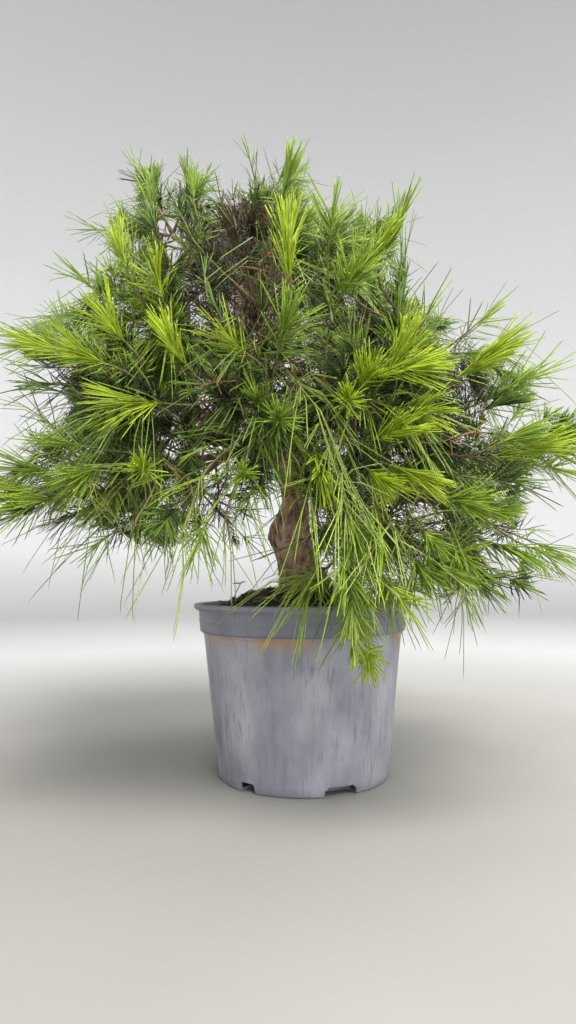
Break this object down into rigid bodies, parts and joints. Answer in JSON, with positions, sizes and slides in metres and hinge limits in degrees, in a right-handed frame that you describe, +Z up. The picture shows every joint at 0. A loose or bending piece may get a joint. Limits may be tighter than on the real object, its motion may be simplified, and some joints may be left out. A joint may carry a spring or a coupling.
{
  "type": "potted aleppo pine",
  "caption": "Young Aleppo pine with a bushy crown of long soft needles on a leaning trunk, growing in a round grey plastic nursery pot filled with soil.",
  "frame": {"origin": "middle of the pot's flat underside, on the surface that it stands on", "axes": "+Z up; -Y towards the side that the picture shows; +X to the right as seen from there"},
  "size_m": [0.4775, 0.3972, 0.5098],
  "materials": {
    "pot": "satin",
    "soil": "matte",
    "bark": "matte",
    "bough_bark": "matte",
    "needles": "satin"
  },
  "bodies": {
    "root": {"bough_back_left": "bough_bark", "bough_back_left_low": "bough_bark", "bough_back_right": "bough_bark", "bough_back_right_low": "bough_bark", "bough_centre_front": "bough_bark", "bough_crown_left": "bough_bark", "bough_hanging": "bough_bark", "bough_left_front": "bough_bark", "bough_left_high": "bough_bark", "bough_left_low": "bough_bark", "bough_left_shoulder": "bough_bark", "bough_right_front": "bough_bark", "bough_right_low": "bough_bark", "bough_right_reach": "bough_bark", "bough_right_shoulder": "bough_bark", "bough_upper_front": "bough_bark", "bough_upper_right": "bough_bark", "needles_back_centre": "needles", "needles_back_left_high": "needles", "needles_back_left_low": "needles", "needles_back_left_middle": "needles", "needles_back_low": "needles", "needles_back_right_high": "needles", "needles_back_right_low": "needles", "needles_back_right_middle": "needles", "needles_back_top": "needles", "needles_centre_front_low": "needles", "needles_centre_left_front": "needles", "needles_centre_right_hang": "needles", "needles_crown_left": "needles", "needles_crown_middle": "needles", "needles_crown_right": "needles", "needles_left_back": "needles", "needles_left_front": "needles", "needles_left_low": "needles", "needles_left_low_front": "needles", "needles_left_shoulder": "needles", "needles_left_shoulder_front": "needles", "needles_left_tip_high": "needles", "needles_left_under": "needles", "needles_pot_hanging": "needles", "needles_right_front_high": "needles", "needles_right_front_low": "needles", "needles_right_front_star": "needles", "needles_right_low_tip": "needles", "needles_right_middle": "needles", "needles_right_shoulder": "needles", "needles_right_tip": "needles", "needles_right_tip_high": "needles", "needles_right_under_back": "needles", "needles_right_under_front": "needles", "needles_upper_front": "needles", "needles_upper_left": "needles", "needles_upper_right": "needles", "needles_upper_right_back": "needles", "needles_upper_right_front": "needles", "pot": "pot", "soil": "soil", "trunk": "bark"}
  },
  "joints": []
}
